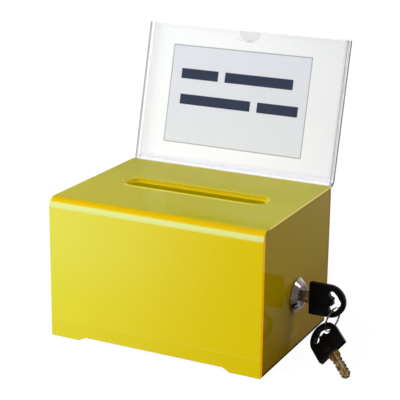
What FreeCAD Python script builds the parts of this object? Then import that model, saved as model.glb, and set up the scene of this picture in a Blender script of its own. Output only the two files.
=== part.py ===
import FreeCAD, Part
import math
import os

# Countertop donation box of bent acrylic sheet, with a clear sign holder behind it, a sliding
# floor, a cam lock in the right side and two keys on a split ring.
# Millimetres. Origin on the table under the middle of the box, +X right, +Y back, +Z up.

# Box
WIDTH = 159.0
DEPTH = 117.0
HEIGHT = 100.0
SHEET = 3.0
COVER_BEND = 4.0
SLOT_LENGTH = 107.0
SLOT_WIDTH = 14.4
SLOT_BACK = 4.0
SLOT_ROUND = 2.5
FOOT_RISE = 2.8
FOOT_LENGTH = 22.1
FOOT_SLOPE = 5.1
FOOT_ROUND = 1.6
CORNER_GAP = 0.2

# Sliding floor and the strips that carry it
FLOOR_HEIGHT = 10.0
FLOOR_GAP = 0.4
RUNNER_GAP = 0.2
RUNNER_WIDTH = 8.0
GUIDE_WIDTH = 6.0
STRIP = 3.0

# Sign holder
SIGN_WIDTH = 156.0
SIGN_SHEET = 3.0
SIGN_LENGTH = 102.0
SIGN_LEAN = 14.0
SIGN_BEND = 4.0
SIGN_FOOT = 1.0
SIGN_POCKET = 4.0
FLANGE_LENGTH = 26.0
LEDGE_RISE = -2.0
LEDGE_BEND = 2.0
LEDGE_GAP = 0.05
NOTCH_RADIUS = 8.4
CARD_WIDTH = 155.0
CARD_THICKNESS = 0.4
CARD_GAP = 0.1
CARD_DROP = 0.4

# Cam lock, on an axis along X
LOCK_BACK = -0.5
LOCK_HEIGHT = 38.8
BEZEL_LIP = 2.85
BEZEL_RISE = 4.5
BEZEL_RIM = 1.2
BEZEL_ROUND = 0.5
FACE_RIM = 1.85
BARREL_WALL = 3.2
BARREL_FLAT_DEPTH = 1.25
BARREL_GAP = 0.15
PLUG_RADIUS = 6.0
PLUG_GAP = 0.05
PLUG_LIP = 1.0
PLUG_FLANGE = 1.2
PLUG_RECESS = 0.3
TAIL_SQUARE = 7.0
TAIL_GAP = 0.1
NUT_WALL = 2.25
NUT_THICKNESS = 4.0
WASHER_RIM = 3.1
WASHER_THICKNESS = 1.0
STOP_RIM = 1.0
STOP_THICKNESS = 1.0
STOP_GAP = 0.2
STOP_TAB_ANGLE = 60.0
STOP_PLAY_ANGLE = 2.0
TURN_ANGLE = 90.0
CAM_LENGTH = 27.8
CAM_THICKNESS = 2.0
CAM_HUB_RADIUS = 7.5
CAM_TIP_WIDTH = 9.0
CAM_PLAY = 1.2
SCREW_RADIUS = 2.5
SCREW_LENGTH = 8.0
SCREW_HEAD_RADIUS = 4.2
SCREW_HEAD = 2.4
SCREW_SLOT = 1.0
SCREW_GAP = 0.05
WAFER_COUNT = 5
WAFER_PITCH = 2.5
WAFER_THICKNESS = 0.9
WAFER_WIDTH = 6.6
WAFER_FIRST = 5.0
WAFER_GAP = 0.1

# Keys: blade along local +X from the shoulder, width along Y, thickness along Z
BOW_WIDTH = 23.0
BOW_STRAIGHT = 14.5
BOW_THICKNESS = 4.0
BOW_CORNER = 1.2
BOW_EDGE = 0.7
WINDOW_RADIUS = 5.6
WINDOW_WIDTH = 4.2
WINDOW_ANGLE = 66.0
WINDOW_LOBES = (2.5, 3.0, 2.5)
BLADE_LENGTH = 24.0
BLADE_THICKNESS = 2.0
BLADE_WIDTH = 7.8
BLADE_STEP = 0.6
BLADE_STEP_AT = 4.6
TANG_LENGTH = 6.0
TANG_WIDTH = 6.0
TIP_LENGTH = 2.6
TIP_WIDTH = 2.2
BITTING = (0.5, 1.0, 0.3, 0.8, 0.6)
BITTING_FLAT = 0.5
GROOVE_WIDTH = 1.3
GROOVE_DEPTH = 0.5
GROOVE_OFFSET = 0.9
KEYWAY_GAP = 0.2
KEY_STANDOFF = 5.2
KEYWAY_WEB = 0.9

# Ring and spare key where they hang, the spare leaning on its tip
RING_RADIUS = 8.7
RING_WIRE = 0.6
RING_PITCH = 0.65
RING_TURNS = 2
RING_START = 45.0
RING_HEADING = 170.8
RING_TILT = 11.8
RING_AT_LOCK_KEY = -48.1
RING_OUT_LOCK_KEY = 0.55
RING_AT_SPARE_KEY = 37.3
RING_OUT_SPARE_KEY = 0.4
SPARE_ROUND_RING = -139.0
SPARE_HEADING = -44.5
SPARE_ROLL = 51.0
SPARE_TIP_HEIGHT = 3.3

# Faces that several pieces share
RIGHT = WIDTH / 2
BACK = DEPTH / 2
FRONT = -BACK
INNER_SIDE = RIGHT - SHEET
INNER_FRONT = FRONT + SHEET
INNER_BACK = BACK - SHEET
INNER_TOP = HEIGHT - SHEET
FLOOR_TOP = FLOOR_HEIGHT + SHEET
PLUG_BORE = PLUG_RADIUS + PLUG_GAP
FLANGE_RADIUS = PLUG_RADIUS + PLUG_LIP
FLANGE_SEAT = FLANGE_RADIUS + PLUG_GAP
BARREL_RADIUS = PLUG_BORE + BARREL_WALL
BARREL_FLATS = 2 * (BARREL_RADIUS - BARREL_FLAT_DEPTH)
BARREL_HOLE = BARREL_RADIUS + BARREL_GAP
BEZEL_RADIUS = BARREL_RADIUS + BEZEL_LIP
FACE_RADIUS = FLANGE_SEAT + FACE_RIM
STOP_RADIUS = PLUG_RADIUS + STOP_RIM
BEZEL_FACE = RIGHT + BEZEL_RISE
PLUG_FACE = BEZEL_FACE - PLUG_RECESS
KEY_SHOULDER = BEZEL_FACE + KEY_STANDOFF
KEYWAY_END = KEY_SHOULDER - BLADE_LENGTH - KEYWAY_GAP
CAM_END = KEYWAY_END - KEYWAY_WEB - SCREW_LENGTH
CAM_BACK = CAM_END + CAM_THICKNESS
STOP_BACK = CAM_BACK + STOP_THICKNESS
BARREL_END = STOP_BACK + TAIL_GAP


def vec(x, y, z):
    return FreeCAD.Vector(x, y, z)


def slab(x, y, z):
    """A block between two values along each axis."""
    return Part.makeBox(x[1] - x[0], y[1] - y[0], z[1] - z[0], vec(x[0], y[0], z[0]))


def prism_x(points, x0, x1):
    """A closed outline of (y, z) points, drawn out along X."""
    wire = Part.makePolygon([vec(x0, y, z) for y, z in points + points[:1]])
    return Part.Face(wire).extrude(vec(x1 - x0, 0, 0))


def rod_x(radius, x0, x1, y=LOCK_BACK, z=LOCK_HEIGHT):
    return Part.makeCylinder(radius, x1 - x0, vec(x0, y, z), vec(1, 0, 0))


def square_x(size, x0, x1):
    """A square bar on the lock's axis."""
    half = size / 2
    return slab((x0, x1), (LOCK_BACK - half, LOCK_BACK + half), (LOCK_HEIGHT - half, LOCK_HEIGHT + half))


def edges_at(solid, y, z, length):
    """The edges along X at one (y, z) point."""
    found = []
    for edge in solid.Edges:
        middle = edge.CenterOfMass
        if abs(edge.Length - length) < 1e-4 and math.hypot(middle.y - y, middle.z - z) < 1e-4:
            found.append(edge)
    return found


def unit(a, b):
    length = math.hypot(b[0] - a[0], b[1] - a[1])
    return (b[0] - a[0]) / length, (b[1] - a[1]) / length


def bent_sheet(path, thickness, bend, half_width, side):
    """A sheet bent along a three-point path of (y, z) on its outer face.

    The thickness lies on the right of the path (side 1) or on its left (side -1), and
    bend is the radius inside the bend.
    """
    start, corner, end = path
    first = unit(start, corner)
    second = unit(corner, end)
    across_first = side * first[1], -side * first[0]
    across_second = side * second[1], -side * second[0]
    turn = math.acos(first[0] * second[0] + first[1] * second[1])
    miter = thickness / math.cos(turn / 2)
    middle = unit((0, 0), (across_first[0] + across_second[0], across_first[1] + across_second[1]))
    inner_start = start[0] + thickness * across_first[0], start[1] + thickness * across_first[1]
    inner_corner = corner[0] + miter * middle[0], corner[1] + miter * middle[1]
    inner_end = end[0] + thickness * across_second[0], end[1] + thickness * across_second[1]
    outline = [start, corner, end, inner_end, inner_corner, inner_start]
    sheet = prism_x(outline, -half_width, half_width)
    sheet = sheet.makeFillet(bend + thickness, edges_at(sheet, *corner, 2 * half_width))
    return sheet.makeFillet(bend, edges_at(sheet, *inner_corner, 2 * half_width))


def cover_sheet():
    """The front and top in one bent sheet, with the slot above and the feet below."""
    path = [(FRONT, 0), (FRONT, HEIGHT), (BACK, HEIGHT)]
    sheet = bent_sheet(path, SHEET, COVER_BEND, RIGHT, 1)
    return slotted(sheet).cut(foot_cutter())


def slotted(sheet):
    """The sheet with the slot cut through it and the slot's upper rim rounded."""
    sheet = sheet.cut(slot_cutter())
    rim = []
    for edge in sheet.Edges:
        middle = edge.CenterOfMass
        near = abs(middle.x) < SLOT_LENGTH / 2 and abs(middle.y - SLOT_BACK) < SLOT_WIDTH
        if near and abs(middle.z - HEIGHT) < 1e-4:
            rim.append(edge)
    return sheet.makeFillet(SLOT_ROUND, rim)


def slot_cutter():
    radius = SLOT_WIDTH / 2
    reach = SLOT_LENGTH / 2 - radius
    low = INNER_TOP - SHEET
    high = HEIGHT + SHEET
    cutter = slab((-reach, reach), (SLOT_BACK - radius, SLOT_BACK + radius), (low, high))
    for x in (-reach, reach):
        cutter = cutter.fuse(Part.makeCylinder(radius, high - low, vec(x, SLOT_BACK, low)))
    return cutter.removeSplitter()


def foot_cutter():
    """The shallow opening that leaves a foot at each end of the front."""
    wide = RIGHT - FOOT_LENGTH
    narrow = wide - FOOT_SLOPE
    fall = FOOT_SLOPE * SHEET / FOOT_RISE
    corners = [(-narrow, FOOT_RISE), (narrow, FOOT_RISE), (wide + fall, -SHEET), (-wide - fall, -SHEET)]
    wire = Part.makePolygon([vec(x, FRONT - SHEET, z) for x, z in corners + corners[:1]])
    cutter = Part.Face(wire).extrude(vec(0, 3 * SHEET, 0))
    top = [e for e in cutter.Edges if abs(e.CenterOfMass.z - FOOT_RISE) < 1e-4 and e.Length < 4 * SHEET]
    return cutter.makeFillet(FOOT_ROUND, top)


def side_panel(x0):
    """A side under the cover, rounded to clear the inside of its bend."""
    panel = slab((x0, x0 + SHEET), (INNER_FRONT, INNER_BACK), (0, INNER_TOP))
    return panel.makeFillet(COVER_BEND + CORNER_GAP, edges_at(panel, INNER_FRONT, INNER_TOP, SHEET))


def barrel_profile(radius, flats, x0, x1):
    """A round bar with two flats, above and below the lock's axis."""
    half = flats / 2
    band = slab((x0, x1), (LOCK_BACK - radius, LOCK_BACK + radius), (LOCK_HEIGHT - half, LOCK_HEIGHT + half))
    return rod_x(radius, x0, x1).common(band)


def right_side():
    flats = BARREL_FLATS + 2 * BARREL_GAP
    return side_panel(INNER_SIDE).cut(barrel_profile(BARREL_HOLE, flats, INNER_SIDE - SHEET, RIGHT + SHEET))


def back_panel():
    return slab((-RIGHT, RIGHT), (INNER_BACK, BACK), (FLOOR_TOP + FLOOR_GAP, INNER_TOP))


def floor_panel():
    """The floor slides out to the back. The lock's cam drops through its slot."""
    half = INNER_SIDE - FLOOR_GAP
    panel = slab((-half, half), (INNER_FRONT + FLOOR_GAP, BACK), (FLOOR_HEIGHT, FLOOR_TOP))
    depth = LOCK_HEIGHT - FLOOR_TOP
    corner = math.hypot(CAM_LENGTH, CAM_TIP_WIDTH / 2)
    entry = math.sqrt(corner ** 2 - depth ** 2)
    slot_y = LOCK_BACK - CAM_TIP_WIDTH / 2 - CAM_PLAY, LOCK_BACK + entry + CAM_PLAY
    slot_x = CAM_END - CAM_PLAY, CAM_BACK + CAM_PLAY
    slot = slab(slot_x, slot_y, (FLOOR_HEIGHT - SHEET, FLOOR_TOP + SHEET))
    upright = [e for e in slot.Edges if abs(e.Length - 3 * SHEET) < 1e-4]
    return panel.cut(slot.makeFillet((slot_x[1] - slot_x[0]) / 3, upright))


def strip(side, width, z0):
    """A strip cemented along the inside of one side (1 right, -1 left)."""
    x = sorted((side * INNER_SIDE, side * (INNER_SIDE - width)))
    return slab(x, (INNER_FRONT, INNER_BACK), (z0, z0 + STRIP))


def runner(side):
    return strip(side, RUNNER_WIDTH, FLOOR_HEIGHT - RUNNER_GAP - STRIP)


def guide(side):
    return strip(side, GUIDE_WIDTH, FLOOR_TOP + RUNNER_GAP)


def on_sign(depth, rise):
    """(y, z) of a point so deep behind the leaning front face and so far up it."""
    lean = math.radians(SIGN_LEAN)
    y = BACK + depth * math.cos(lean) + rise * math.sin(lean)
    z = HEIGHT + SIGN_FOOT - depth * math.sin(lean) + rise * math.cos(lean)
    return y, z


def sign_front_sheet():
    """The front of the sign pocket, with the flange that is cemented to the back panel."""
    flange_end = BACK, HEIGHT + SIGN_FOOT - FLANGE_LENGTH
    path = [flange_end, on_sign(0, 0), on_sign(0, SIGN_LENGTH)]
    sheet = bent_sheet(path, SIGN_SHEET, SIGN_BEND, SIGN_WIDTH / 2, 1)
    start = vec(0, *on_sign(-SIGN_SHEET, SIGN_LENGTH))
    end = vec(0, *on_sign(2 * SIGN_SHEET, SIGN_LENGTH))
    return sheet.cut(Part.makeCylinder(NOTCH_RADIUS, 3 * SIGN_SHEET, start, end - start))


def sign_rear_sheet():
    """The back of the sign pocket, bent forward to the flange into the ledge that carries the card."""
    lean = math.radians(SIGN_LEAN)
    near = (SIGN_SHEET + LEDGE_GAP - LEDGE_RISE * math.sin(lean)) / math.cos(lean)
    depth = 2 * SIGN_SHEET + SIGN_POCKET
    path = [on_sign(near, LEDGE_RISE), on_sign(depth, LEDGE_RISE), on_sign(depth, SIGN_LENGTH)]
    return bent_sheet(path, SIGN_SHEET, LEDGE_BEND, SIGN_WIDTH / 2, -1)


def sign_card():
    """The card in the pocket, standing on the ledge against the rear sheet."""
    back = SIGN_SHEET + SIGN_POCKET - CARD_GAP
    front = back - CARD_THICKNESS
    low = LEDGE_RISE + SIGN_SHEET + LEDGE_BEND
    high = SIGN_LENGTH - CARD_DROP
    outline = [on_sign(front, low), on_sign(front, high), on_sign(back, high), on_sign(back, low)]
    return prism_x(outline, -CARD_WIDTH / 2, CARD_WIDTH / 2)


def sector_x(radius, x0, x1, middle, spread):
    """A pie slice about the lock's axis, its angles counted from +Y towards +Z."""
    slice_x = Part.makeCylinder(radius, x1 - x0, vec(0, 0, 0), vec(0, 0, 1), spread)
    slice_x.rotate(vec(0, 0, 0), vec(0, 0, 1), middle - spread / 2)
    slice_x.rotate(vec(0, 0, 0), vec(1, 1, 1), 120)
    slice_x.translate(vec(x0, LOCK_BACK, LOCK_HEIGHT))
    return slice_x


def revolved_x(points):
    """An outline of (x, radius) points, turned about the lock's axis."""
    wire = Part.makePolygon([vec(x, LOCK_BACK + r, LOCK_HEIGHT) for x, r in points + points[:1]])
    return Part.Face(wire).revolve(vec(0, LOCK_BACK, LOCK_HEIGHT), vec(1, 0, 0), 360)


def lock_housing():
    """Bezel and flatted barrel in one casting, with a stop lug round its inner end."""
    seat_floor = PLUG_FACE - PLUG_FLANGE - PLUG_GAP
    head = revolved_x([
        (RIGHT, PLUG_BORE),
        (RIGHT, BEZEL_RADIUS),
        (RIGHT + BEZEL_RIM, BEZEL_RADIUS),
        (BEZEL_FACE, FACE_RADIUS),
        (BEZEL_FACE, FLANGE_SEAT),
        (seat_floor, FLANGE_SEAT),
        (seat_floor, PLUG_BORE),
    ])
    shoulders = [(RIGHT + BEZEL_RIM, BEZEL_RADIUS), (BEZEL_FACE, FACE_RADIUS)]
    rims = [circle for x, radius in shoulders for circle in circles_at(head, x, radius)]
    head = head.makeFillet(BEZEL_ROUND, rims)
    barrel = barrel_profile(BARREL_RADIUS, BARREL_FLATS, BARREL_END, RIGHT)
    barrel = barrel.fuse(stop_lug()).cut(rod_x(PLUG_BORE, BARREL_END - SHEET, RIGHT + SHEET))
    return head.fuse(barrel).removeSplitter()


def circles_at(solid, x, radius):
    """The round edges about the lock's axis at one place along it."""
    found = []
    for edge in solid.Edges:
        curve = edge.Curve
        if not isinstance(curve, Part.Circle):
            continue
        if abs(curve.Center.x - x) < 1e-4 and abs(curve.Radius - radius) < 1e-4:
            found.append(edge)
    return found


def stop_lug():
    """The part of the barrel's rim that the stop washer's tab swings between."""
    free = STOP_TAB_ANGLE + TURN_ANGLE + 2 * STOP_PLAY_ANGLE
    x0 = CAM_BACK + STOP_GAP
    lug = sector_x(BARREL_RADIUS, x0, BARREL_END, 180 - TURN_ANGLE / 2, 360 - free)
    flats = barrel_profile(BARREL_RADIUS, BARREL_FLATS, x0, BARREL_END)
    return lug.common(flats).cut(rod_x(STOP_RADIUS + STOP_GAP, x0 - SHEET, BARREL_END + SHEET))


def lock_plug():
    """The core: flange, keyed body, slots for the wafers and a square tail for the cam."""
    flange = rod_x(FLANGE_RADIUS, PLUG_FACE - PLUG_FLANGE, PLUG_FACE)
    body = rod_x(PLUG_RADIUS, BARREL_END, PLUG_FACE)
    tail = square_x(TAIL_SQUARE, CAM_END + TAIL_GAP, BARREL_END)
    plug = flange.fuse(body).fuse(tail).removeSplitter()
    plug = plug.cut(rod_x(SCREW_RADIUS + SCREW_GAP, CAM_END - SHEET, CAM_END + SCREW_LENGTH))
    plug = plug.cut(keyway())
    for x in wafer_places():
        plug = plug.cut(wafer_blank(x, WAFER_GAP, PLUG_BORE))
    return plug


def keyway():
    half_width = BLADE_WIDTH / 2 + KEYWAY_GAP
    half_thickness = BLADE_THICKNESS / 2 + KEYWAY_GAP
    y = LOCK_BACK - half_thickness, LOCK_BACK + half_thickness
    z = LOCK_HEIGHT - half_width, LOCK_HEIGHT + half_width
    return slab((KEYWAY_END, BEZEL_FACE + SHEET), y, z)


def wafer_places():
    return [PLUG_FACE - WAFER_FIRST - WAFER_PITCH * i for i in range(WAFER_COUNT)]


def wafer_blank(x, gap, radius):
    """A plate across the plug, round at both ends; gap widens it into its slot."""
    half = WAFER_WIDTH / 2 + gap
    ends = x - WAFER_THICKNESS / 2 - gap, x + WAFER_THICKNESS / 2 + gap
    z = LOCK_HEIGHT - radius, LOCK_HEIGHT + radius
    return rod_x(radius, *ends).common(slab(ends, (LOCK_BACK - half, LOCK_BACK + half), z))


def lock_wafers():
    plates = [wafer_blank(x, 0, PLUG_RADIUS - WAFER_GAP).cut(keyway()) for x in wafer_places()]
    return Part.makeCompound(plates)


def lock_washer():
    ring = rod_x(BARREL_HOLE + WASHER_RIM, INNER_SIDE - WASHER_THICKNESS, INNER_SIDE)
    return ring.cut(rod_x(BARREL_HOLE, INNER_SIDE - SHEET, RIGHT))


def lock_nut():
    x1 = INNER_SIDE - WASHER_THICKNESS
    x0 = x1 - NUT_THICKNESS
    radius = (BARREL_RADIUS + NUT_WALL) / math.cos(math.pi / 6)
    corners = []
    for i in range(6):
        angle = math.radians(60 * i)
        corners.append((LOCK_BACK + radius * math.cos(angle), LOCK_HEIGHT + radius * math.sin(angle)))
    return prism_x(corners, x0, x1).cut(rod_x(BARREL_HOLE, x0 - SHEET, RIGHT))


def stop_washer():
    """The washer whose tab meets the housing's lug at both ends of the turn."""
    disc = rod_x(STOP_RADIUS, CAM_BACK, STOP_BACK)
    tab = sector_x(BARREL_RADIUS, CAM_BACK, STOP_BACK, 0, STOP_TAB_ANGLE)
    hole = square_x(TAIL_SQUARE + 2 * TAIL_GAP, CAM_BACK - SHEET, STOP_BACK + SHEET)
    return disc.fuse(tab).removeSplitter().cut(hole)


def lock_cam():
    """The latch arm, pointing back while the lock is open."""
    hub = rod_x(CAM_HUB_RADIUS, CAM_END, CAM_BACK)
    half = CAM_TIP_WIDTH / 2
    tip = LOCK_BACK + CAM_LENGTH
    arm = prism_x([
        (LOCK_BACK, LOCK_HEIGHT - CAM_HUB_RADIUS),
        (tip, LOCK_HEIGHT - half),
        (tip, LOCK_HEIGHT + half),
        (LOCK_BACK, LOCK_HEIGHT + CAM_HUB_RADIUS),
    ], CAM_END, CAM_BACK)
    hole = square_x(TAIL_SQUARE + 2 * TAIL_GAP, CAM_END - SHEET, CAM_BACK + SHEET)
    return hub.fuse(arm).removeSplitter().cut(hole)


def cam_screw():
    head = rod_x(SCREW_HEAD_RADIUS, CAM_END - SCREW_HEAD, CAM_END)
    rim = [e for e in head.Edges if abs(e.CenterOfMass.x - CAM_END + SCREW_HEAD) < 1e-4]
    head = head.makeFillet(SCREW_HEAD / 2, rim)
    screw = head.fuse(rod_x(SCREW_RADIUS, CAM_END, CAM_END + SCREW_LENGTH - TAIL_GAP)).removeSplitter()
    half = SCREW_SLOT / 2
    across = LOCK_BACK - SCREW_HEAD_RADIUS, LOCK_BACK + SCREW_HEAD_RADIUS
    slot_x = CAM_END - SCREW_HEAD - SHEET, CAM_END - SCREW_HEAD / 2
    return screw.cut(slab(slot_x, across, (LOCK_HEIGHT - half, LOCK_HEIGHT + half)))


def bow_outline():
    """The grip: square at the shoulder, half round at the far end."""
    half = BOW_WIDTH / 2
    lines = [
        Part.makeLine(vec(-BOW_STRAIGHT, half, 0), vec(0, half, 0)),
        Part.makeLine(vec(0, half, 0), vec(0, -half, 0)),
        Part.makeLine(vec(0, -half, 0), vec(-BOW_STRAIGHT, -half, 0)),
    ]
    far = vec(-BOW_STRAIGHT - half, 0, 0)
    round_end = Part.Arc(lines[2].lastVertex().Point, far, lines[0].firstVertex().Point).toShape()
    return Part.Wire(lines + [round_end])


def window_point(radius, angle):
    """A point of the grip's window, its angle counted from the far end."""
    turn = math.radians(angle)
    return vec(-BOW_STRAIGHT - radius * math.cos(turn), radius * math.sin(turn), 0)


def bow_window():
    """The curved opening that the ring goes through, with a round lobe at its ends and middle."""
    arcs = []
    for radius in (WINDOW_RADIUS - WINDOW_WIDTH / 2, WINDOW_RADIUS + WINDOW_WIDTH / 2):
        points = [window_point(radius, angle) for angle in (-WINDOW_ANGLE, 0, WINDOW_ANGLE)]
        arcs.append(Part.Arc(*points).toShape())
    inner, outer = arcs
    ends = [
        Part.makeLine(inner.firstVertex().Point, outer.firstVertex().Point),
        Part.makeLine(inner.lastVertex().Point, outer.lastVertex().Point),
    ]
    wire = Part.Wire(Part.sortEdges([inner, outer] + ends)[0])
    window = Part.Face(wire).extrude(vec(0, 0, 2 * BOW_THICKNESS))
    for lobe, angle in zip(WINDOW_LOBES, (-WINDOW_ANGLE, 0, WINDOW_ANGLE)):
        window = window.fuse(Part.makeCylinder(lobe, 2 * BOW_THICKNESS, window_point(WINDOW_RADIUS, angle)))
    window.translate(vec(0, 0, -BOW_THICKNESS))
    return window.removeSplitter()


def tang():
    """The end of the blade that is moulded into the grip."""
    half = TANG_WIDTH / 2
    thick = BLADE_THICKNESS / 2
    return slab((-TANG_LENGTH, 0), (-half, half), (-thick, thick))


def key_bow():
    bow = Part.Face(bow_outline()).extrude(vec(0, 0, BOW_THICKNESS))
    corners = [e for e in bow.Edges if abs(e.CenterOfMass.x) < 1e-4 and abs(e.Length - BOW_THICKNESS) < 1e-4]
    bow = bow.makeFillet(BOW_CORNER, corners)
    rims = [e for e in bow.Edges if abs(abs(e.CenterOfMass.z - BOW_THICKNESS / 2) - BOW_THICKNESS / 2) < 1e-4]
    bow = bow.makeChamfer(BOW_EDGE, rims)
    bow.translate(vec(0, 0, -BOW_THICKNESS / 2))
    return bow.cut(bow_window()).cut(tang())


def blade_edge():
    """One cut edge of the blade, from the shoulder to the tip."""
    wide = BLADE_WIDTH / 2
    cut = wide - BLADE_STEP
    points = [(0, wide), (BLADE_STEP_AT - BLADE_STEP, wide), (BLADE_STEP_AT, cut)]
    pitch = (BLADE_LENGTH - TIP_LENGTH - BLADE_STEP_AT) / len(BITTING)
    for i, depth in enumerate(BITTING):
        middle = BLADE_STEP_AT + pitch * (i + 0.5)
        points += [
            (middle - BITTING_FLAT - depth, cut),
            (middle - BITTING_FLAT, cut - depth),
            (middle + BITTING_FLAT, cut - depth),
            (middle + BITTING_FLAT + depth, cut),
        ]
    return points + [(BLADE_LENGTH - TIP_LENGTH, cut), (BLADE_LENGTH, TIP_WIDTH / 2)]


def key_blade():
    upper = blade_edge()
    lower = [(x, -y) for x, y in reversed(upper)]
    outline = upper + lower
    thick = BLADE_THICKNESS / 2
    wire = Part.makePolygon([vec(x, y, -thick) for x, y in outline + outline[:1]])
    blade = Part.Face(wire).extrude(vec(0, 0, BLADE_THICKNESS)).fuse(tang()).removeSplitter()
    for face in (1, -1):
        y = face * GROOVE_OFFSET - GROOVE_WIDTH / 2, face * GROOVE_OFFSET + GROOVE_WIDTH / 2
        z = sorted((face * (thick - GROOVE_DEPTH), face * 2 * thick))
        blade = blade.cut(slab((BLADE_STEP, BLADE_LENGTH + TIP_LENGTH), y, z))
    return blade


def lock_key_place():
    """Blade into the lock along -X, width upright."""
    turn = FreeCAD.Rotation(vec(-1, 0, 0), vec(0, 0, 1), vec(0, 1, 0), "XYZ")
    return FreeCAD.Placement(vec(KEY_SHOULDER, LOCK_BACK, LOCK_HEIGHT), turn)


def heading_vector(heading, rise):
    """A direction turned round the vertical from +X and raised above level, in radians."""
    return vec(math.cos(rise) * math.cos(heading), math.cos(rise) * math.sin(heading), math.sin(rise))


def ring_place():
    """The ring hangs straight down from the lock key's window."""
    hook = lock_key_place().multVec(window_point(WINDOW_RADIUS + RING_OUT_LOCK_KEY, RING_AT_LOCK_KEY))
    normal = heading_vector(math.radians(RING_HEADING), math.radians(RING_TILT))
    down = normal * normal.z - vec(0, 0, 1)
    centre = hook + down * (RING_RADIUS / down.Length)
    return FreeCAD.Placement(centre, FreeCAD.Rotation(vec(0, 0, 1), normal)), hook


def spare_key_place():
    """The spare key hangs on the ring and leans down until its tip is near the table."""
    place, hook = ring_place()
    normal = place.Rotation.multVec(vec(0, 0, 1))
    hang = place.Base + FreeCAD.Rotation(normal, SPARE_ROUND_RING).multVec(hook - place.Base)
    eye = window_point(WINDOW_RADIUS + RING_OUT_SPARE_KEY, RING_AT_SPARE_KEY)
    heading = math.radians(SPARE_HEADING)
    roll = math.radians(SPARE_ROLL)
    reach = BLADE_LENGTH - eye.x
    offset = eye.y * math.sin(roll)
    dip = math.asin((hang.z - SPARE_TIP_HEIGHT) / math.hypot(reach, offset)) - math.atan2(offset, reach)
    along = heading_vector(heading, -dip)
    level = heading_vector(heading + math.pi / 2, 0)
    width = level * math.cos(roll) + along.cross(level) * math.sin(roll)
    turn = FreeCAD.Rotation(along, width, along.cross(width), "XYZ")
    return FreeCAD.Placement(hang - turn.multVec(eye), turn)


def placed(shape, place):
    copy = shape.copy()
    copy.Placement = place
    return copy


def key_ring():
    """A split ring: one wire wound round twice."""
    halves = []
    for i in range(2 * RING_TURNS):
        half = Part.makeHelix(RING_PITCH, RING_PITCH / 2, RING_RADIUS)
        half.rotate(vec(0, 0, 0), vec(0, 0, 1), 180 * i)
        half.translate(vec(0, 0, RING_PITCH * i / 2))
        halves += half.Edges
    start = vec(RING_RADIUS, 0, 0)
    section = Part.Wire(Part.makeCircle(RING_WIRE / 2, start, vec(0, 1, 0)))
    ring = Part.Wire(halves).makePipeShell([section], True, True)
    ring.translate(vec(0, 0, -RING_PITCH * RING_TURNS / 2))
    ring.rotate(vec(0, 0, 0), vec(0, 0, 1), RING_START)
    ring.Placement = ring_place()[0].multiply(ring.Placement)
    return ring


def build():
    blade = key_blade()
    bow = key_bow()
    return {
        "cover_sheet": cover_sheet(),
        "left_side": side_panel(-RIGHT),
        "right_side": right_side(),
        "back_panel": back_panel(),
        "floor_panel": floor_panel(),
        "left_runner": runner(-1),
        "right_runner": runner(1),
        "left_guide": guide(-1),
        "right_guide": guide(1),
        "sign_front_sheet": sign_front_sheet(),
        "sign_rear_sheet": sign_rear_sheet(),
        "sign_card": sign_card(),
        "lock_housing": lock_housing(),
        "lock_washer": lock_washer(),
        "lock_nut": lock_nut(),
        "lock_plug": lock_plug(),
        "lock_wafers": lock_wafers(),
        "stop_washer": stop_washer(),
        "lock_cam": lock_cam(),
        "cam_screw": cam_screw(),
        "key_blade": placed(blade, lock_key_place()),
        "key_bow": placed(bow, lock_key_place()),
        "key_ring": key_ring(),
        "spare_key_blade": placed(blade, spare_key_place()),
        "spare_key_bow": placed(bow, spare_key_place()),
    }


os.makedirs("parts", exist_ok=True)
for node, shape in build().items():
    shape.exportStep(f"parts/{node}.step")
    print(node, len(shape.Solids), shape.isValid(), round(shape.Volume, 1))
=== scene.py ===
import math

import bpy
from mathutils import Matrix, Vector


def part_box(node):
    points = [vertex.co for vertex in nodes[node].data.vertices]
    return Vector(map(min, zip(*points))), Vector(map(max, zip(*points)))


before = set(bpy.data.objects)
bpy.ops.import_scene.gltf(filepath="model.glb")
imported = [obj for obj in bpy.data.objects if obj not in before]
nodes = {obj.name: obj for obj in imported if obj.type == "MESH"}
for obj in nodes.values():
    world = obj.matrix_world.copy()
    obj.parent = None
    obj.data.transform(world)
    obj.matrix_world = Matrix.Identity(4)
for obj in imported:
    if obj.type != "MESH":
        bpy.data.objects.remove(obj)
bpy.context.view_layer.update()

# Faces of the box and the thickness of its sheet, read from the model's meshes, in metres
cover_low, cover_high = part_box("cover_sheet")
side_low, side_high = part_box("right_side")
floor_low, floor_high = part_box("floor_panel")
RIGHT = cover_high.x
FRONT = cover_low.y
BACK = cover_high.y
TOP = cover_high.z
SHEET = side_high.x - side_low.x
FLOOR_UNDERSIDE = floor_low.z
FLOOR_TOP = floor_high.z

# The slot's opening: half its length, the radius of its ends, and how far it lies behind the middle
SLOT_HALF_LENGTH = 0.0535
SLOT_RADIUS = 0.0072
SLOT_BACK = 0.004

# The sign's lean and directions, and where its front face starts above the box and how long it is
LEAN = math.radians(14.0)
SIGN_UP = Vector((0.0, math.sin(LEAN), math.cos(LEAN)))
SIGN_OUT = Vector((0.0, -math.cos(LEAN), math.sin(LEAN)))
SIGN_GAP = 0.001
SIGN_FOOT = Vector((0.0, BACK, TOP + SIGN_GAP))
SIGN_LENGTH = 0.102
SIGN_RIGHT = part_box("sign_front_sheet")[1].x
CARD_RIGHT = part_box("sign_card")[1].x

WHITE = (1.0, 1.0, 1.0)
BLACK = (0.0, 0.0, 0.0)
ACRYLIC_IOR = 1.49


def rgba(value):
    """A colour as a socket takes it; one that comes from a node stays as it is."""
    return value if isinstance(value, bpy.types.NodeSocket) else (*value, 1.0)


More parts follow.
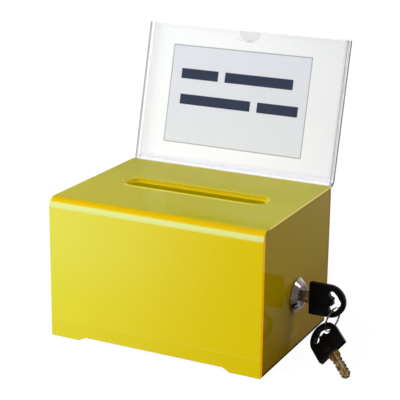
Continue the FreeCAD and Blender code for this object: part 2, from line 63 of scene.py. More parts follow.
class Shade:
    """A material and short ways to add nodes to it."""

    def __init__(self, name):
        self.mat = bpy.data.materials.new(name)
        self.mat.use_nodes = True
        self.tree = self.mat.node_tree
        self.bsdf = self.tree.nodes["Principled BSDF"]
        self.out = self.tree.nodes["Material Output"]
        coordinates = self.tree.nodes.new("ShaderNodeTexCoord")
        self.place = coordinates.outputs["Object"]
        self.normal = coordinates.outputs["Normal"]

    def add(self, kind, **settings):
        node = self.tree.nodes.new(kind)
        for key, value in settings.items():
            setattr(node, key, value)
        return node

    def link(self, source, target):
        if isinstance(source, bpy.types.NodeSocket):
            self.tree.links.new(source, target)
        else:
            target.default_value = source

    def math(self, operation, a, b=0.0, clamp=False):
        node = self.add("ShaderNodeMath", operation=operation, use_clamp=clamp)
        self.link(a, node.inputs[0])
        self.link(b, node.inputs[1])
        return node.outputs[0]

    def times(self, a, b):
        return self.math("MULTIPLY", a, b)

    def plus(self, a, b):
        return self.math("ADD", a, b)

    def minus(self, a, b):
        return self.math("SUBTRACT", a, b)

    def larger(self, a, b):
        return self.math("MAXIMUM", a, b)

    def size(self, value):
        """A number without its sign."""
        return self.math("ABSOLUTE", value)

    def rest(self, value):
        """What a number leaves of 1."""
        return self.minus(1.0, value)

    def diagonal(self, a, b):
        """Length of the slope over two sides at right angles."""
        return self.math("SQRT", self.plus(self.times(a, a), self.times(b, b)))

    def ramp(self, value, low, high):
        """0 below low, 1 above high, smooth between."""
        node = self.add("ShaderNodeMapRange", interpolation_type="SMOOTHSTEP")
        self.link(value, node.inputs["Value"])
        node.inputs["From Min"].default_value = low
        node.inputs["From Max"].default_value = high
        return node.outputs["Result"]

    def falls(self, value, low, high):
        """1 below low, 0 above high, smooth between."""
        return self.rest(self.ramp(value, low, high))

    def span(self, value, low, high, soft):
        """1 between low and high, fading over soft."""
        rising = self.ramp(value, low - soft, low + soft)
        falling = self.falls(value, high - soft, high + soft)
        return self.times(rising, falling)

    def split(self, vector):
        node = self.add("ShaderNodeSeparateXYZ")
        self.tree.links.new(vector, node.inputs[0])
        return node.outputs

    def along(self, vector, direction):
        """How far a vector reaches in one direction."""
        node = self.add("ShaderNodeVectorMath", operation="DOT_PRODUCT")
        self.tree.links.new(vector, node.inputs[0])
        node.inputs[1].default_value = direction
        return node.outputs["Value"]

    def distance(self, point):
        """How far the surface is from a point."""
        node = self.add("ShaderNodeVectorMath", operation="DISTANCE")
        self.tree.links.new(self.place, node.inputs[0])
        node.inputs[1].default_value = point
        return node.outputs["Value"]

    def between(self, factor, a, b):
        """A number that goes from a to b with the factor."""
        node = self.add("ShaderNodeMix", data_type="FLOAT")
        for name, value in (("Factor", factor), ("A", a), ("B", b)):
            self.link(value, node.inputs[name])
        return node.outputs["Result"]

    def mix(self, factor, a, b):
        """A colour that goes from a to b with the factor."""
        node = self.add("ShaderNodeMix", data_type="RGBA")
        self.link(factor, node.inputs["Factor"])
        self.link(rgba(a), node.inputs["A"])
        self.link(rgba(b), node.inputs["B"])
        return node.outputs["Result"]

    def noise(self, scale, detail, stretch=(1, 1, 1), turn=(0, 0, 0)):
        move = self.add("ShaderNodeMapping")
        move.inputs["Scale"].default_value = stretch
        move.inputs["Rotation"].default_value = turn
        self.tree.links.new(self.place, move.inputs["Vector"])
        node = self.add("ShaderNodeTexNoise")
        node.inputs["Scale"].default_value = scale
        node.inputs["Detail"].default_value = detail
        self.tree.links.new(move.outputs[0], node.inputs["Vector"])
        return node.outputs[0]

    def colour(self, value):
        self.link(rgba(value), self.bsdf.inputs["Base Color"])

    def roughness(self, grain, low, high):
        """Roughness from low to high over the middle part of a noise."""
        least, most = 0.3, 0.7
        node = self.add("ShaderNodeMapRange")
        self.link(grain, node.inputs["Value"])
        node.inputs["From Min"].default_value = least
        node.inputs["From Max"].default_value = most
        node.inputs["To Min"].default_value = low
        node.inputs["To Max"].default_value = high
        self.link(node.outputs["Result"], self.bsdf.inputs["Roughness"])

    def bump(self, height, distance, strength, edge=0.0):
        """Relief from a height, on edges that look rounded by the radius edge."""
        node = self.add("ShaderNodeBump")
        node.inputs["Distance"].default_value = distance
        node.inputs["Strength"].default_value = strength
        self.link(height, node.inputs["Height"])
        if edge:
            rounded = self.add("ShaderNodeBevel", samples=4)
            rounded.inputs["Radius"].default_value = edge
            self.link(rounded.outputs[0], node.inputs["Normal"])
        self.link(node.outputs[0], self.bsdf.inputs["Normal"])

    def set(self, values):
        for name, value in values.items():
            self.bsdf.inputs[name].default_value = value


def paint(names, shade):
    """Gives CAD nodes a material on their objects, so their meshes stay as they are."""
    for name in names:
        for slot in nodes[name].material_slots:
            slot.link = "OBJECT"
            slot.material = shade.mat


# Acrylic of the box: yellow faces, orange cut edges, a painted glow inside
PLAIN_YELLOW = (0.69, 0.585, 0.012)
DRIFT_YELLOW = (0.74, 0.56, 0.006)
CUT_ORANGE = (0.66, 0.33, 0.0)
INSIDE_GLOW = (0.115, 0.112, 0.0)


def polished(shade, face, glow, cut, specular):
    """Finish of all the yellow sheets: a drift of hue, smears, hairlines and saw marks on cut edges, and a
    painted glow on the inside faces.
    """
    drift_part, smear_part, hair_part, hair_height = 0.18, 0.7, 0.3, 0.15
    x, y, z = shade.split(shade.place)
    drift = shade.ramp(shade.noise(scale=9.0, detail=2.0), low=0.35, high=0.75)
    face = shade.mix(shade.times(drift, drift_part), face, DRIFT_YELLOW)
    shade.colour(shade.mix(cut, face, CUT_ORANGE))

    slack = 0.0001
    inner = RIGHT - SHEET + slack
    inside = shade.falls(shade.size(x), low=inner, high=inner + 2 * slack)
    inside_z = shade.span(z, low=FLOOR_TOP + 5 * slack, high=TOP - SHEET + slack, soft=slack)
    inside_y = shade.span(y, low=FRONT + SHEET - slack, high=BACK - SHEET + slack, soft=slack)
    inside = shade.times(shade.times(inside, inside_z), inside_y)
    shade.link(shade.mix(inside, glow, INSIDE_GLOW), shade.bsdf.inputs["Emission Color"])

    smear = shade.noise(scale=28.0, detail=4.0)
    hair = shade.noise(scale=900.0, detail=2.0, stretch=(1.0, 1.0, 0.02), turn=(0.3, 0.5, 0.2))
    saw = shade.noise(scale=1600.0, detail=1.0, stretch=(0.05, 1.0, 1.0))
    worn = shade.plus(shade.times(smear, smear_part), shade.times(hair, hair_part))
    shade.roughness(worn, low=0.035, high=0.10)
    height = shade.plus(shade.times(hair, hair_height), shade.times(saw, cut))
    shade.bump(height, distance=0.00003, strength=0.35, edge=0.00035)
    shade.set({"IOR": ACRYLIC_IOR, "Specular IOR Level": specular, "Emission Strength": 1.0})
    return shade


def across(shade, axis):
    """1 where the surface faces along an axis, to either side."""
    return shade.ramp(shade.size(shade.split(shade.normal)[axis]), low=0.5, high=0.8)


def front_painted_light(shade, x, z):
    """Painted light and shade: palest high on the left, where light and reflection fall, deepest in shade
    on the right.
    """
    low_left = (0.775, 0.70, 0.040)
    high_left = (0.775, 0.73, 0.085)
    right = (0.75, 0.575, 0.005)
    left = shade.mix(shade.ramp(z, low=0.01, high=0.08), low_left, high_left)
    return shade.mix(shade.ramp(x, low=-0.085, high=0.085), left, right)


def top_painted_shade(shade, x, y):
    """Painted shade and reflection: deeper towards the sign, in its shade, and a little paler on the right,
    where a reflection is painted.
    """
    near_left = (0.635, 0.57, 0.006)
    near_right = (0.645, 0.595, 0.055)
    rear_left = (0.55, 0.49, 0.004)
    rear_right = (0.55, 0.50, 0.035)
    rightward = shade.ramp(x, low=0.0, high=0.08)
    near = shade.mix(rightward, near_left, near_right)
    rear = shade.mix(rightward, rear_left, rear_right)
    return shade.mix(shade.ramp(y, low=-0.02, high=0.055), near, rear)


def bend_painted_light(shade, face, forward, normal_y, normal_z):
    """The bend between front and top: a pale painted highlight on its lower part and deeper orange painted
    shade on its upper part.
    """
    pale = (0.72, 0.76, 0.265)
    orange = (0.80, 0.495, 0.0)
    orange_part = 0.9
    lower = shade.times(shade.span(normal_z, low=0.10, high=0.56, soft=0.05), forward)
    upper = shade.span(normal_z, low=0.64, high=0.985, soft=0.03)
    upper = shade.times(upper, shade.falls(normal_y, low=-0.2, high=-0.1))
    return shade.mix(shade.times(upper, orange_part), shade.mix(lower, face, pale), orange)


def floor_behind(shade, face, forward, z):
    """The front's foot, a little deeper below the floor panel's top, and a faint line at that height."""
    deep = (0.62, 0.45, 0.0)
    pale = (0.95, 0.92, 0.40)
    deep_part, pale_part = 0.10, 0.07
    below = shade.times(forward, shade.falls(z, low=FLOOR_TOP - 0.0008, high=FLOOR_TOP))
    line = shade.span(z, low=FLOOR_TOP - 0.0003, high=FLOOR_TOP + 0.0004, soft=0.0004)
    face = shade.mix(shade.times(below, deep_part), face, deep)
    return shade.mix(shade.times(shade.times(forward, line), pale_part), face, pale)


def slot_distance(shade, x, y):
    """How far a point is past the slot's straight part, behind its middle line and outside its opening."""
    past = shade.larger(shade.minus(shade.size(x), SLOT_HALF_LENGTH - SLOT_RADIUS), 0.0)
    aside = shade.minus(y, SLOT_BACK)
    return past, aside, shade.minus(shade.diagonal(past, aside), SLOT_RADIUS)


def slot_masks(shade, x, y, z):
    """Where the slot's wall is, where the painted highlight along its rim goes, and where the slot's round
    ends are.
    """
    past, aside, outward = slot_distance(shade, x, y)
    ends = shade.ramp(past, low=0.003, high=0.0065)
    near = shade.times(shade.falls(aside, low=-SLOT_RADIUS, high=-0.003), shade.rest(ends))
    rear_start, near_start, end_start = 0.0019, 0.0022, 0.0010
    rear_stop, near_stop, end_stop = 0.0029, 0.0054, 0.0026
    start = shade.between(ends, shade.between(near, rear_start, near_start), end_start)
    stop = shade.between(ends, shade.between(near, rear_stop, near_stop), end_stop)

    soft = 0.0003
    underside = TOP - SHEET
    above = shade.ramp(z, low=underside - 0.0005, high=underside - 0.0002)
    past_wall = shade.ramp(shade.minus(outward, start), low=-soft, high=soft)
    before_top = shade.falls(shade.minus(outward, stop), low=-soft, high=soft)
    outside = shade.times(shade.ramp(outward, low=-0.0006, high=-0.0002), above)
    wall = shade.times(outside, shade.rest(past_wall))
    rim = shade.times(shade.times(past_wall, before_top), above)
    return wall, rim, ends


def slot_colours(shade, face, wall, rim, ends):
    """An orange wall in a painted highlight along the rim, duller at the slot's ends."""
    wall_orange = (0.57, 0.40, 0.004)
    rim_highlight = (0.86, 0.73, 0.0)
    rim_end_highlight = (0.72, 0.64, 0.04)
    face = shade.mix(wall, face, wall_orange)
    return shade.mix(rim, face, shade.mix(ends, rim_highlight, rim_end_highlight))


def slot_glow(shade, z, wall, rim, ends):
    """Light that the sheet scatters into the slot's wall and rim."""
    wall_glow = (0.27, 0.17, 0.0)
    rim_glow = (0.06, 0.05, 0.0)
    low_wall = shade.times(wall, shade.falls(z, low=TOP - 0.0025, high=TOP - 0.0007))
    glow = shade.mix(low_wall, BLACK, wall_glow)
    return shade.mix(rim, glow, shade.mix(ends, rim_glow, BLACK))


def acrylic_cover():
    """The sheet that is bent over the front and top, with the slot and two kinds of cut edge."""
    edge_shaded_yellow = (0.70, 0.46, 0.004)
    top_edge_highlight = (0.74, 0.60, 0.20)
    front_edge_glow = (0.52, 0.22, 0.0)
    top_edge_glow = (0.50, 0.40, 0.12)
    shade = Shade("acrylic_cover")
    x, y, z = shade.split(shade.place)
    normal_y, normal_z = shade.split(shade.normal)[1:]
    forward = shade.falls(normal_y, low=-0.8, high=-0.5)
    face = shade.mix(forward, top_painted_shade(shade, x, y), front_painted_light(shade, x, z))
    face = bend_painted_light(shade, face, forward, normal_y, normal_z)
    face = floor_behind(shade, face, forward, z)

    wall, rim, ends = slot_masks(shade, x, y, z)
    face = slot_colours(shade, face, wall, rim, ends)
    glow = slot_glow(shade, z, wall, rim, ends)

    # The end faces take the side's painted shade; the top's edge gets a painted cream highlight and glow,
    # the front's edge a painted orange glow.
    edge = across(shade, 0)
    front_edge = shade.times(edge, shade.falls(y, low=FRONT + 0.0028, high=FRONT + 0.0032))
    top_edge = shade.times(edge, shade.ramp(z, low=TOP - 0.0012, high=TOP - 0.0007))
    top_edge = shade.times(top_edge, shade.ramp(y, low=FRONT + 0.0055, high=FRONT + 0.0125))
    face = shade.mix(top_edge, shade.mix(edge, face, edge_shaded_yellow), top_edge_highlight)
    glow = shade.mix(top_edge, shade.mix(front_edge, glow, front_edge_glow), top_edge_glow)
    return polished(shade, face, glow, front_edge, specular=0.030)


def acrylic_side_painted_shade():
    """The side with the lock, in painted shade: darker and more orange than the other panels, deeper
    towards its foot, with the floor panel's edges faintly through it.
    """
    foot = (0.545, 0.305, 0.0)
    upper = (0.69, 0.465, 0.003)
    foot_shadow = (0.03, 0.014, 0.0)
    floor_edge_glint = (0.95, 0.90, 0.45)
    shadow_part, line_part = 0.95, 0.5
    shade = Shade("acrylic_side_painted_shade")
    y, z = shade.split(shade.place)[1:]
    # Painted shade over the whole side, deepest at its foot
    face = shade.mix(shade.ramp(z, low=0.0, high=0.07), foot, upper)
    # A painted shadow line along the foot
    shadow_band = shade.falls(z, low=0.0010, high=0.0024)
    face = shade.mix(shade.times(shadow_band, shadow_part), face, foot_shadow)
    # The floor panel's edges, seen through the sheet, painted pale as a glint over a short stretch
    under = shade.span(z, low=FLOOR_UNDERSIDE - 0.0001, high=FLOOR_UNDERSIDE + 0.0003, soft=0.0003)
    over = shade.span(z, low=FLOOR_TOP - 0.0003, high=FLOOR_TOP + 0.0001, soft=0.0003)
    lines = shade.times(shade.plus(under, over), shade.span(y, low=-0.022, high=0.008, soft=0.008))
    face = shade.mix(shade.times(lines, line_part), face, floor_edge_glint)
    return polished(shade, face, BLACK, shade.rest(across(shade, 0)), specular=0.043)


def acrylic_plain(name, face_axis):
    """A panel of one yellow whose faces look along one axis."""
    shade = Shade(name)
    return polished(shade, PLAIN_YELLOW, BLACK, shade.rest(across(shade, face_axis)), specular=0.035)


paint(["cover_sheet"], acrylic_cover())
paint(["left_side"], acrylic_plain("acrylic_left", face_axis=0))
paint(["right_side"], acrylic_side_painted_shade())
paint(["back_panel"], acrylic_plain("acrylic_back", face_axis=1))
floor_pieces = ["floor_panel", "left_runner", "right_runner", "left_guide", "right_guide"]
paint(floor_pieces, acrylic_plain("acrylic_floor", face_axis=2))


# Clear acrylic of the sign holder: faces that mirror a little, cut edges grey and half clear
def sign_rise(shade):
    """How far a point is above the sign's foot, along its lean."""
    return shade.minus(shade.along(shade.place, SIGN_UP), SIGN_UP.dot(SIGN_FOOT))


def clear_edge(shade, x, rise, right_part, left_part):
    """How much grey the cut edges show: on the right, on the left, and on top, most at its right corner."""
    top_part, corner_part = 0.30, 0.85
    sideways = shade.ramp(shade.size(shade.along(shade.normal, (1.0, 0.0, 0.0))), low=0.6, high=0.8)
    right = shade.times(sideways, shade.ramp(x, low=SIGN_RIGHT - 0.0010, high=SIGN_RIGHT - 0.0005))
    left = shade.times(sideways, shade.falls(x, low=0.0005 - SIGN_RIGHT, high=0.0010 - SIGN_RIGHT))
    upward = shade.ramp(shade.size(shade.along(shade.normal, SIGN_UP)), low=0.7, high=0.9)
    top = shade.times(upward, shade.ramp(rise, low=SIGN_LENGTH - 0.00915, high=SIGN_LENGTH - 0.00815))
    corner = shade.ramp(x, low=SIGN_RIGHT - 0.0050, high=SIGN_RIGHT - 0.0035)
    sides = shade.plus(shade.times(right, right_part), shade.times(left, left_part))
    over = shade.times(top, shade.between(corner, top_part, corner_part))
    return shade.math("ADD", sides, over, clamp=True)


def clear_face(shade, x, rise):
    """A see-through face with a thin gloss, hazy at the bent and cemented foot and at the outer margins."""
    clearest = (0.994, 0.996, 0.998)
    foot_haze = (0.958, 0.960, 0.968)
    margin_haze = (0.94, 0.94, 0.945)
    smear_roughness = 0.05
    gloss_ior = 1.36
    foot = shade.falls(rise, low=0.00335, high=0.00735)
    margin = shade.ramp(shade.size(x), low=SIGN_RIGHT - 0.0020, high=SIGN_RIGHT - 0.0014)
    clear = shade.add("ShaderNodeBsdfTransparent")
    haze = shade.mix(margin, shade.mix(foot, clearest, foot_haze), margin_haze)
    shade.link(haze, clear.inputs["Color"])

    gloss = shade.add("ShaderNodeBsdfAnisotropic")
    gloss.inputs["Color"].default_value = rgba(WHITE)
    smear = shade.noise(scale=22.0, detail=4.0)
    shade.link(shade.times(smear, smear_roughness), gloss.inputs["Roughness"])

    mirror = shade.add("ShaderNodeFresnel")
    mirror.inputs["IOR"].default_value = gloss_ior
    geometry = shade.add("ShaderNodeNewGeometry")
    outer = shade.rest(geometry.outputs["Backfacing"])
    face = shade.add("ShaderNodeMixShader")
    shade.link(shade.times(mirror.outputs[0], outer), face.inputs[0])
    shade.link(clear.outputs[0], face.inputs[1])
    shade.link(gloss.outputs[0], face.inputs[2])
    return face.outputs[0]


def clear_acrylic(name, right_part, left_part):
    dark_grey = (0.07, 0.075, 0.08)
    light_grey = (0.15, 0.155, 0.16)
    shade = Shade(name)
    x = shade.split(shade.place)[0]
    rise = sign_rise(shade)
    saw = shade.noise(scale=1400.0, detail=2.0, stretch=(1.0, 0.05, 0.05))
    shade.colour(shade.mix(shade.ramp(saw, low=0.3, high=0.7), dark_grey, light_grey))
    shade.roughness(saw, low=0.18, high=0.34)
    shade.bump(saw, distance=0.00003, strength=0.4)
    shade.set({"IOR": ACRYLIC_IOR})
    whole = shade.add("ShaderNodeMixShader")
    shade.link(clear_edge(shade, x, rise, right_part, left_part), whole.inputs[0])
    shade.link(clear_face(shade, x, rise), whole.inputs[1])
    shade.link(shade.bsdf.outputs[0], whole.inputs[2])
    shade.link(whole.outputs[0], shade.out.inputs["Surface"])
    return shade


paint(["sign_front_sheet"], clear_acrylic("acrylic_clear_front", right_part=0.50, left_part=0.55))
paint(["sign_rear_sheet"], clear_acrylic("acrylic_clear_rear", right_part=0.95, left_part=0.15))


# Card: white stock with a grey printed panel and plain bars where a message goes
PANEL_X = -0.0038
PANEL_RISE = 0.0511
PANEL_WIDTH = 0.1095
PANEL_HEIGHT = 0.0713
PANEL_BORDER = 0.00075
BAR_HEIGHT = 0.0075
# Each bar's middle across the card, its rise and its width
BARS = [
    (-0.0355, 0.0665, 0.030),
    (0.0120, 0.0665, 0.054),
    (-0.0210, 0.0475, 0.057),
    (0.0290, 0.0475, 0.032),
]


def card_stock(shade, fibre, x, rise):
    """White card with painted shade to the right, a painted bluish tint at its foot against the yellow
    light bounced from the box, and greyer along its side edges.
    """
    dark, light = (0.925, 0.928, 0.945), (0.955, 0.958, 0.975)
    right_shade = (0.80, 0.80, 0.82)
    foot_blue = (0.89, 0.90, 0.985)
    edge_grey = (0.58, 0.58, 0.60)
    right_part, foot_part, edge_part = 0.6, 0.5, 0.5
    rightward = shade.ramp(x, low=-0.03, high=0.08)
    footward = shade.falls(rise, low=0.0, high=0.04)
    edge = shade.ramp(shade.size(x), low=CARD_RIGHT - 0.0008, high=CARD_RIGHT - 0.0005)
    stock = shade.mix(shade.ramp(fibre, low=0.3, high=0.7), dark, light)
    # Painted shade to the right, and at the foot a painted bluish tint against bounced yellow light
    stock = shade.mix(shade.times(rightward, right_part), stock, right_shade)
    stock = shade.mix(shade.times(footward, foot_part), stock, foot_blue)
    return shade.mix(shade.times(edge, edge_part), stock, edge_grey)


def card_print(shade, stock, fibre, front, x, rise):
    """The panel with its border, a painted shade spot where the thumb notch bares the card, and the bars.
    """
    panel_dark, panel_light = (0.715, 0.732, 0.785), (0.745, 0.762, 0.815)
    border_grey = (0.38, 0.39, 0.41)
    notch_shade = (0.78, 0.78, 0.785)
    navy = (0.010, 0.018, 0.055)
    ink_part = 0.98
    notch_x = 0.0011
    soft = 0.0002

    def block(middle_x, middle_rise, width, height):
        wide = shade.span(x, middle_x - width / 2, middle_x + width / 2, soft)
        high = shade.span(rise, middle_rise - height / 2, middle_rise + height / 2, soft)
        return shade.times(shade.times(wide, front), high)

    bordered = block(PANEL_X, PANEL_RISE, PANEL_WIDTH + 2 * PANEL_BORDER, PANEL_HEIGHT + 2 * PANEL_BORDER)
    panel = block(PANEL_X, PANEL_RISE, PANEL_WIDTH, PANEL_HEIGHT)
    tint = shade.mix(shade.ramp(fibre, low=0.3, high=0.7), panel_dark, panel_light)
    face = shade.mix(panel, shade.mix(bordered, stock, border_grey), tint)
    # Painted shade on the card where the thumb notch bares it
    from_notch = shade.diagonal(shade.minus(x, notch_x), shade.minus(rise, SIGN_LENGTH))
    rubbed = shade.times(shade.falls(from_notch, low=0.0084, high=0.0088), front)
    face = shade.mix(rubbed, face, notch_shade)
    ink = 0.0
    for middle_x, middle_rise, width in BARS:
        ink = shade.larger(ink, block(middle_x, middle_rise, width, BAR_HEIGHT))
    return shade.mix(shade.times(ink, ink_part), face, navy)


def card():
    foot_glow = 0.09
    shade = Shade("card_print")
    x = shade.split(shade.place)[0]
    rise = sign_rise(shade)
    front = shade.ramp(shade.along(shade.normal, SIGN_OUT), low=0.4, high=0.6)
    fibre = shade.noise(scale=700.0, detail=5.0)
    stock = card_stock(shade, fibre, x, rise)
    shade.colour(card_print(shade, stock, fibre, front, x, rise))
    foot_light = shade.times(shade.falls(rise, low=0.003, high=0.0105), foot_glow)
    shade.link(foot_light, shade.bsdf.inputs["Emission Strength"])
    shade.roughness(fibre, low=0.72, high=0.86)
    shade.bump(fibre, distance=0.00002, strength=0.4)
    shade.set({"Emission Color": rgba(WHITE), "Specular IOR Level": 0.2})
    return shade


paint(["sign_card"], card())


# Metals and the keys' grips
THREAD_PITCH = 0.001
METAL_RELIEF = 0.00002
METAL_EDGE = 0.00012


def scratched(shade, lines, wear):
    """Height of a metal's surface from its fine lines and its wear."""
    line_part, wear_part = 0.4, 0.6
    return shade.plus(shade.times(lines, line_part), shade.times(wear, wear_part))


def threaded(shade, height):
    """Adds a screw thread to what lies behind the side panel."""
    depth = 12.0
    x = shade.split(shade.place)[0]
    inner = RIGHT - SHEET
    groove = shade.times(shade.math("SINE", shade.times(x, 2 * math.pi / THREAD_PITCH)), depth)
    behind = shade.falls(x, low=inner - 0.0010, high=inner - 0.0008)
    return shade.plus(height, shade.times(groove, behind))


def metal(name, dark, light, roughness, grain, stretch=(1, 1, 1), thread=False):
    shade = Shade(name)
    wear = shade.noise(scale=160.0, detail=4.0)
    lines = shade.noise(grain, detail=3.0, stretch=stretch)
    shade.colour(shade.mix(shade.ramp(wear, low=0.3, high=0.72), dark, light))
    shade.roughness(lines, *roughness)
    height = scratched(shade, lines, wear)
    if thread:
        height = threaded(shade, height)
    shade.bump(height, METAL_RELIEF, strength=0.35, edge=METAL_EDGE)
    shade.set({"Metallic": 1.0})
    return shade


# The bezel and the plug are darker and warmer than bare chrome and nickel: a painted tint for the dark,
# yellow surroundings that they mirror.
bezel = metal(
    "chrome_bezel", (0.36, 0.295, 0.28), (0.52, 0.455, 0.44), (0.03, 0.10), grain=500.0, thread=True
)
plug = metal("nickel_plug", (0.16, 0.12, 0.12), (0.26, 0.21, 0.20), (0.16, 0.30), grain=700.0)
steel = metal(
    "zinc_steel", (0.46, 0.46, 0.45), (0.66, 0.66, 0.65), (0.24, 0.42), grain=800.0, stretch=(0.1, 1, 1)
)
wire = metal("bright_wire", (0.20, 0.18, 0.19), (0.34, 0.31, 0.31), (0.10, 0.22), grain=300.0)
wafer = metal("wafer_brass", (0.60, 0.47, 0.27), (0.76, 0.63, 0.41), (0.12, 0.24), grain=900.0)
paint(["lock_housing"], bezel)
paint(["lock_plug"], plug)
paint(["lock_washer", "lock_nut", "stop_washer", "lock_cam", "cam_screw"], steel)
paint(["key_ring"], wire)
paint(["lock_wafers"], wafer)


def middle_of(node):
    low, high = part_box(node)
    return (low + high) / 2


def blade_brass(node, grip):
    """Brass, dull and rubbed in patches on its faces, with a painted highlight in its grooves near the grip
    and painted shade along its cut edges.
    """
    dull, rubbed = (0.25, 0.18, 0.08), (0.62, 0.50, 0.30)
    groove_highlight, groove_highlight_faded = (1.0, 0.93, 0.80), (0.45, 0.36, 0.21)
    blade_edge_shade = (0.08, 0.055, 0.03)
    shade = Shade("brass_" + node)
    mesh = nodes[node].data
    outward = (middle_of(node) - middle_of(grip)).normalized()
    tip = max(outward.dot(vertex.co) for vertex in mesh.vertices)
    facing = max(mesh.polygons, key=lambda polygon: polygon.area).normal
    depths = [facing.dot(vertex.co) for vertex in mesh.vertices]
    middle = (min(depths) + max(depths)) / 2

    flat = shade.ramp(shade.size(shade.along(shade.normal, facing)), low=0.6, high=0.8)
    depth = shade.size(shade.minus(shade.along(shade.place, facing), middle))
    groove = shade.falls(depth, low=0.0006, high=0.0009)
    near_tip = shade.ramp(shade.along(shade.place, outward), low=tip - 0.013, high=tip - 0.004)
    wear = shade.noise(scale=260.0, detail=4.0)
    lines = shade.noise(scale=900.0, detail=3.0, stretch=(0.08, 1, 1))
    face = shade.mix(shade.ramp(wear, low=0.32, high=0.68), dull, rubbed)
    # Painted highlight in the grooves, fading towards the tip, and painted shade on the cut edges
    face = shade.mix(groove, face, shade.mix(near_tip, groove_highlight, groove_highlight_faded))
    shade.colour(shade.mix(flat, blade_edge_shade, face))
    shade.roughness(lines, low=0.24, high=0.42)
    shade.bump(scratched(shade, lines, wear), METAL_RELIEF, strength=0.15, edge=METAL_EDGE)
    shade.set({"Metallic": 1.0})
    return shade


for key in ("key", "spare_key"):
    paint([key + "_blade"], blade_brass(key + "_blade", key + "_bow"))


def grip_plastic():
    """Black moulded plastic with a fine grain, a little greyer where hands rub it."""
    black, rubbed = (0.003, 0.003, 0.0035), (0.010, 0.0095, 0.009)
    rub_part = 0.4
    shade = Shade("grip_black")
    grain = shade.noise(scale=2200.0, detail=3.0)
    rub = shade.noise(scale=120.0, detail=4.0)
    shade.colour(shade.mix(shade.ramp(rub, low=0.45, high=0.8), black, rubbed))
    shade.roughness(rub, low=0.24, high=0.40)
    height = shade.plus(grain, shade.times(rub, rub_part))
    shade.bump(height, distance=0.00003, strength=0.35, edge=0.0003)
    shade.set({"IOR": 1.46, "Specular IOR Level": 0.10})
    return shade


paint(["key_bow", "spare_key_bow"], grip_plastic())


# Stage: a pale floor that reads white and keeps the shadow
STAGE_REACH = 8.0
STAGE_DROP = 0.0002
STAGE_GREY = (0.12, 0.12, 0.12)
GLINT_PATCH = (0.114, -0.011, 0.0)


def stage_level(shade):
    """Brightness of the floor: near white to the camera, dimmer in reflections close to the box and most to
    its right and front, with a painted glint patch beside the lock.
    """
    near_white, far_white = 0.945, 0.99
    near_mirrored, far_mirrored = 0.30, 0.98
    right_front_loss = 0.85
    path = shade.add("ShaderNodeLightPath")
    camera_ray = path.outputs["Is Camera Ray"]
    seen = shade.larger(camera_ray, path.outputs["Is Glossy Ray"])
    seen = shade.larger(seen, path.outputs["Is Transmission Ray"])
    x, y = shade.split(shade.place)[:2]
    far = shade.distance((0.0, 0.0, 0.0))
    level = shade.between(shade.ramp(far, low=0.25, high=0.9), near_white, far_white)
    mirrored = shade.between(shade.ramp(far, low=0.08, high=0.55), near_mirrored, far_mirrored)
    right_front = shade.span(shade.math("ARCTAN2", y, x), low=-1.35, high=0.10, soft=0.2)
    mirrored = shade.times(mirrored, shade.rest(shade.times(right_front, right_front_loss)))
    # A pale patch seen only in reflections: a painted glint on the bezel
    bezel_glint = shade.falls(shade.distance(GLINT_PATCH), low=0.010, high=0.015)
    mirrored = shade.larger(mirrored, bezel_glint)
    return shade.times(shade.math("MINIMUM", level, shade.plus(mirrored, camera_ray)), seen)


def stage_floor():
    mesh = bpy.data.meshes.new("floor_stage")
    signs = ((-1, -1), (1, -1), (1, 1), (-1, 1))
    corners = [(a * STAGE_REACH, b * STAGE_REACH, -STAGE_DROP) for a, b in signs]
    mesh.from_pydata(corners, [], [(0, 1, 2, 3)])
    floor = bpy.data.objects.new("floor_stage", mesh)
    bpy.context.scene.collection.objects.link(floor)
    shade = Shade("floor_pale")
    shade.colour(STAGE_GREY)
    shade.set({"Roughness": 0.9, "Specular IOR Level": 0.0, "Emission Color": rgba(WHITE)})
    shade.link(stage_level(shade), shade.bsdf.inputs["Emission Strength"])
    mesh.materials.append(shade.mat)


stage_floor()


# Lamps: soft boxes at the front and left, a small one at the right rear and a low one behind
LAMP_AIM = Vector((0.0, 0.0, 0.08))
COOL_WHITE = (0.99, 1.0, 1.0)


def softbox(name, azimuth, elevation, distance, width, height, radiance, colour=WHITE):
    """An area light aimed at the box; azimuth from the front towards the left."""
    turn = math.radians(azimuth)
    lift = math.radians(elevation)
    level = math.cos(lift)
    away = Vector((-math.sin(turn) * level, -math.cos(turn) * level, math.sin(lift)))
    light = bpy.data.lights.new(name, "AREA")
    light.shape = "RECTANGLE"
    light.size = width
    light.size_y = height
    light.energy = radiance * math.pi * width * height
    light.color = colour
    lamp = bpy.data.objects.new(name, light)
    bpy.context.scene.collection.objects.link(lamp)
    lamp.location = LAMP_AIM + away * distance
    lamp.rotation_mode = "QUATERNION"
    lamp.rotation_quaternion = away.to_track_quat("Z", "Y")
    lamp.visible_camera = False
    return lamp


softbox("softbox_low", azimuth=25.0, elevation=2.6, distance=1.7, width=1.5, height=0.38, radiance=7.6)
softbox("softbox_front", azimuth=25.0, elevation=35.5, distance=1.7, width=1.3, height=0.50, radiance=6.0)
softbox(
    "softbox_left", azimuth=62.0, elevation=20.0, distance=1.7, width=1.1, height=0.80, radiance=3.9,
    colour=COOL_WHITE,
)
softbox("softbox_right", azimuth=245.4, elevation=39.0, distance=1.3, width=0.30, height=0.30, radiance=5.0)
back_lamp = softbox(
    "softbox_back", azimuth=180.0, elevation=7.0, distance=1.7, width=1.2, height=0.40, radiance=5.5
)
back_lamp.visible_glossy = False


# Room light: dim all round, brighter low down behind the box
ROOM_DIM = 0.24
ROOM_BEHIND = 0.60


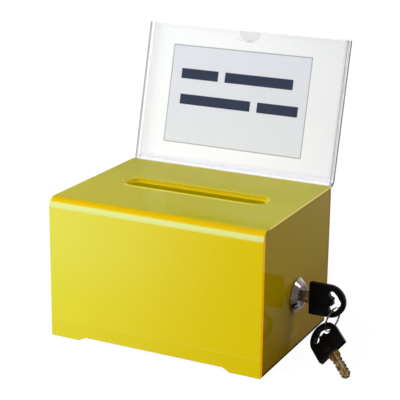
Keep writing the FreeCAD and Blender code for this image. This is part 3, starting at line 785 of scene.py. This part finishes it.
def room():
    world = bpy.data.worlds.new("studio")
    bpy.context.scene.world = world
    world.use_nodes = True
    tree = world.node_tree
    coordinates = tree.nodes.new("ShaderNodeTexCoord")
    axes = tree.nodes.new("ShaderNodeSeparateXYZ")
    tree.links.new(coordinates.outputs["Generated"], axes.inputs[0])

    def fade(socket, start, stop, low, high):
        node = tree.nodes.new("ShaderNodeMapRange")
        node.inputs["From Min"].default_value = start
        node.inputs["From Max"].default_value = stop
        node.inputs["To Min"].default_value = low
        node.inputs["To Max"].default_value = high
        tree.links.new(socket, node.inputs["Value"])
        return node.outputs["Result"]

    glow = tree.nodes.new("ShaderNodeMath")
    glow.operation = "MULTIPLY_ADD"
    backward = fade(axes.outputs[1], start=-0.1, stop=0.8, low=0.0, high=ROOM_BEHIND)
    downward = fade(axes.outputs[2], start=0.30, stop=0.8, low=1.0, high=0.0)
    tree.links.new(backward, glow.inputs[0])
    tree.links.new(downward, glow.inputs[1])
    glow.inputs[2].default_value = ROOM_DIM
    background = tree.nodes["Background"]
    tree.links.new(glow.outputs[0], background.inputs["Strength"])
    background.inputs["Color"].default_value = rgba(WHITE)


room()


# Camera: angles in degrees, azimuth from the front towards the right; lens and sensor in millimetres
VIEW_AZIMUTH = 26.323
VIEW_ELEVATION = 17.040
VIEW_ROLL = 0.632
VIEW_TARGET = Vector((0.00577, 0.0, 0.09499))
VIEW_DISTANCE = 0.9041
LENS = 118.16
SENSOR_WIDTH = 36.0
CLIP_END = 50.0


def camera():
    azimuth = math.radians(VIEW_AZIMUTH)
    elevation = math.radians(VIEW_ELEVATION)
    roll = math.radians(VIEW_ROLL)
    level = math.cos(elevation)
    back = Vector((math.sin(azimuth) * level, -math.cos(azimuth) * level, math.sin(elevation)))
    right = (-back).cross(Vector((0, 0, 1))).normalized()
    up = right.cross(-back)
    tilted_right = right * math.cos(roll) + up * math.sin(roll)
    tilted_up = up * math.cos(roll) - right * math.sin(roll)
    data = bpy.data.cameras.new("photo_view")
    data.sensor_width = SENSOR_WIDTH
    data.lens = LENS
    data.clip_end = CLIP_END
    view = bpy.data.objects.new("photo_view", data)
    bpy.context.scene.collection.objects.link(view)
    turn = Matrix((tilted_right, tilted_up, back)).transposed()
    view.matrix_world = Matrix.Translation(VIEW_TARGET + back * VIEW_DISTANCE) @ turn.to_4x4()
    bpy.context.scene.camera = view


camera()
bpy.context.scene.view_settings.view_transform = "Standard"
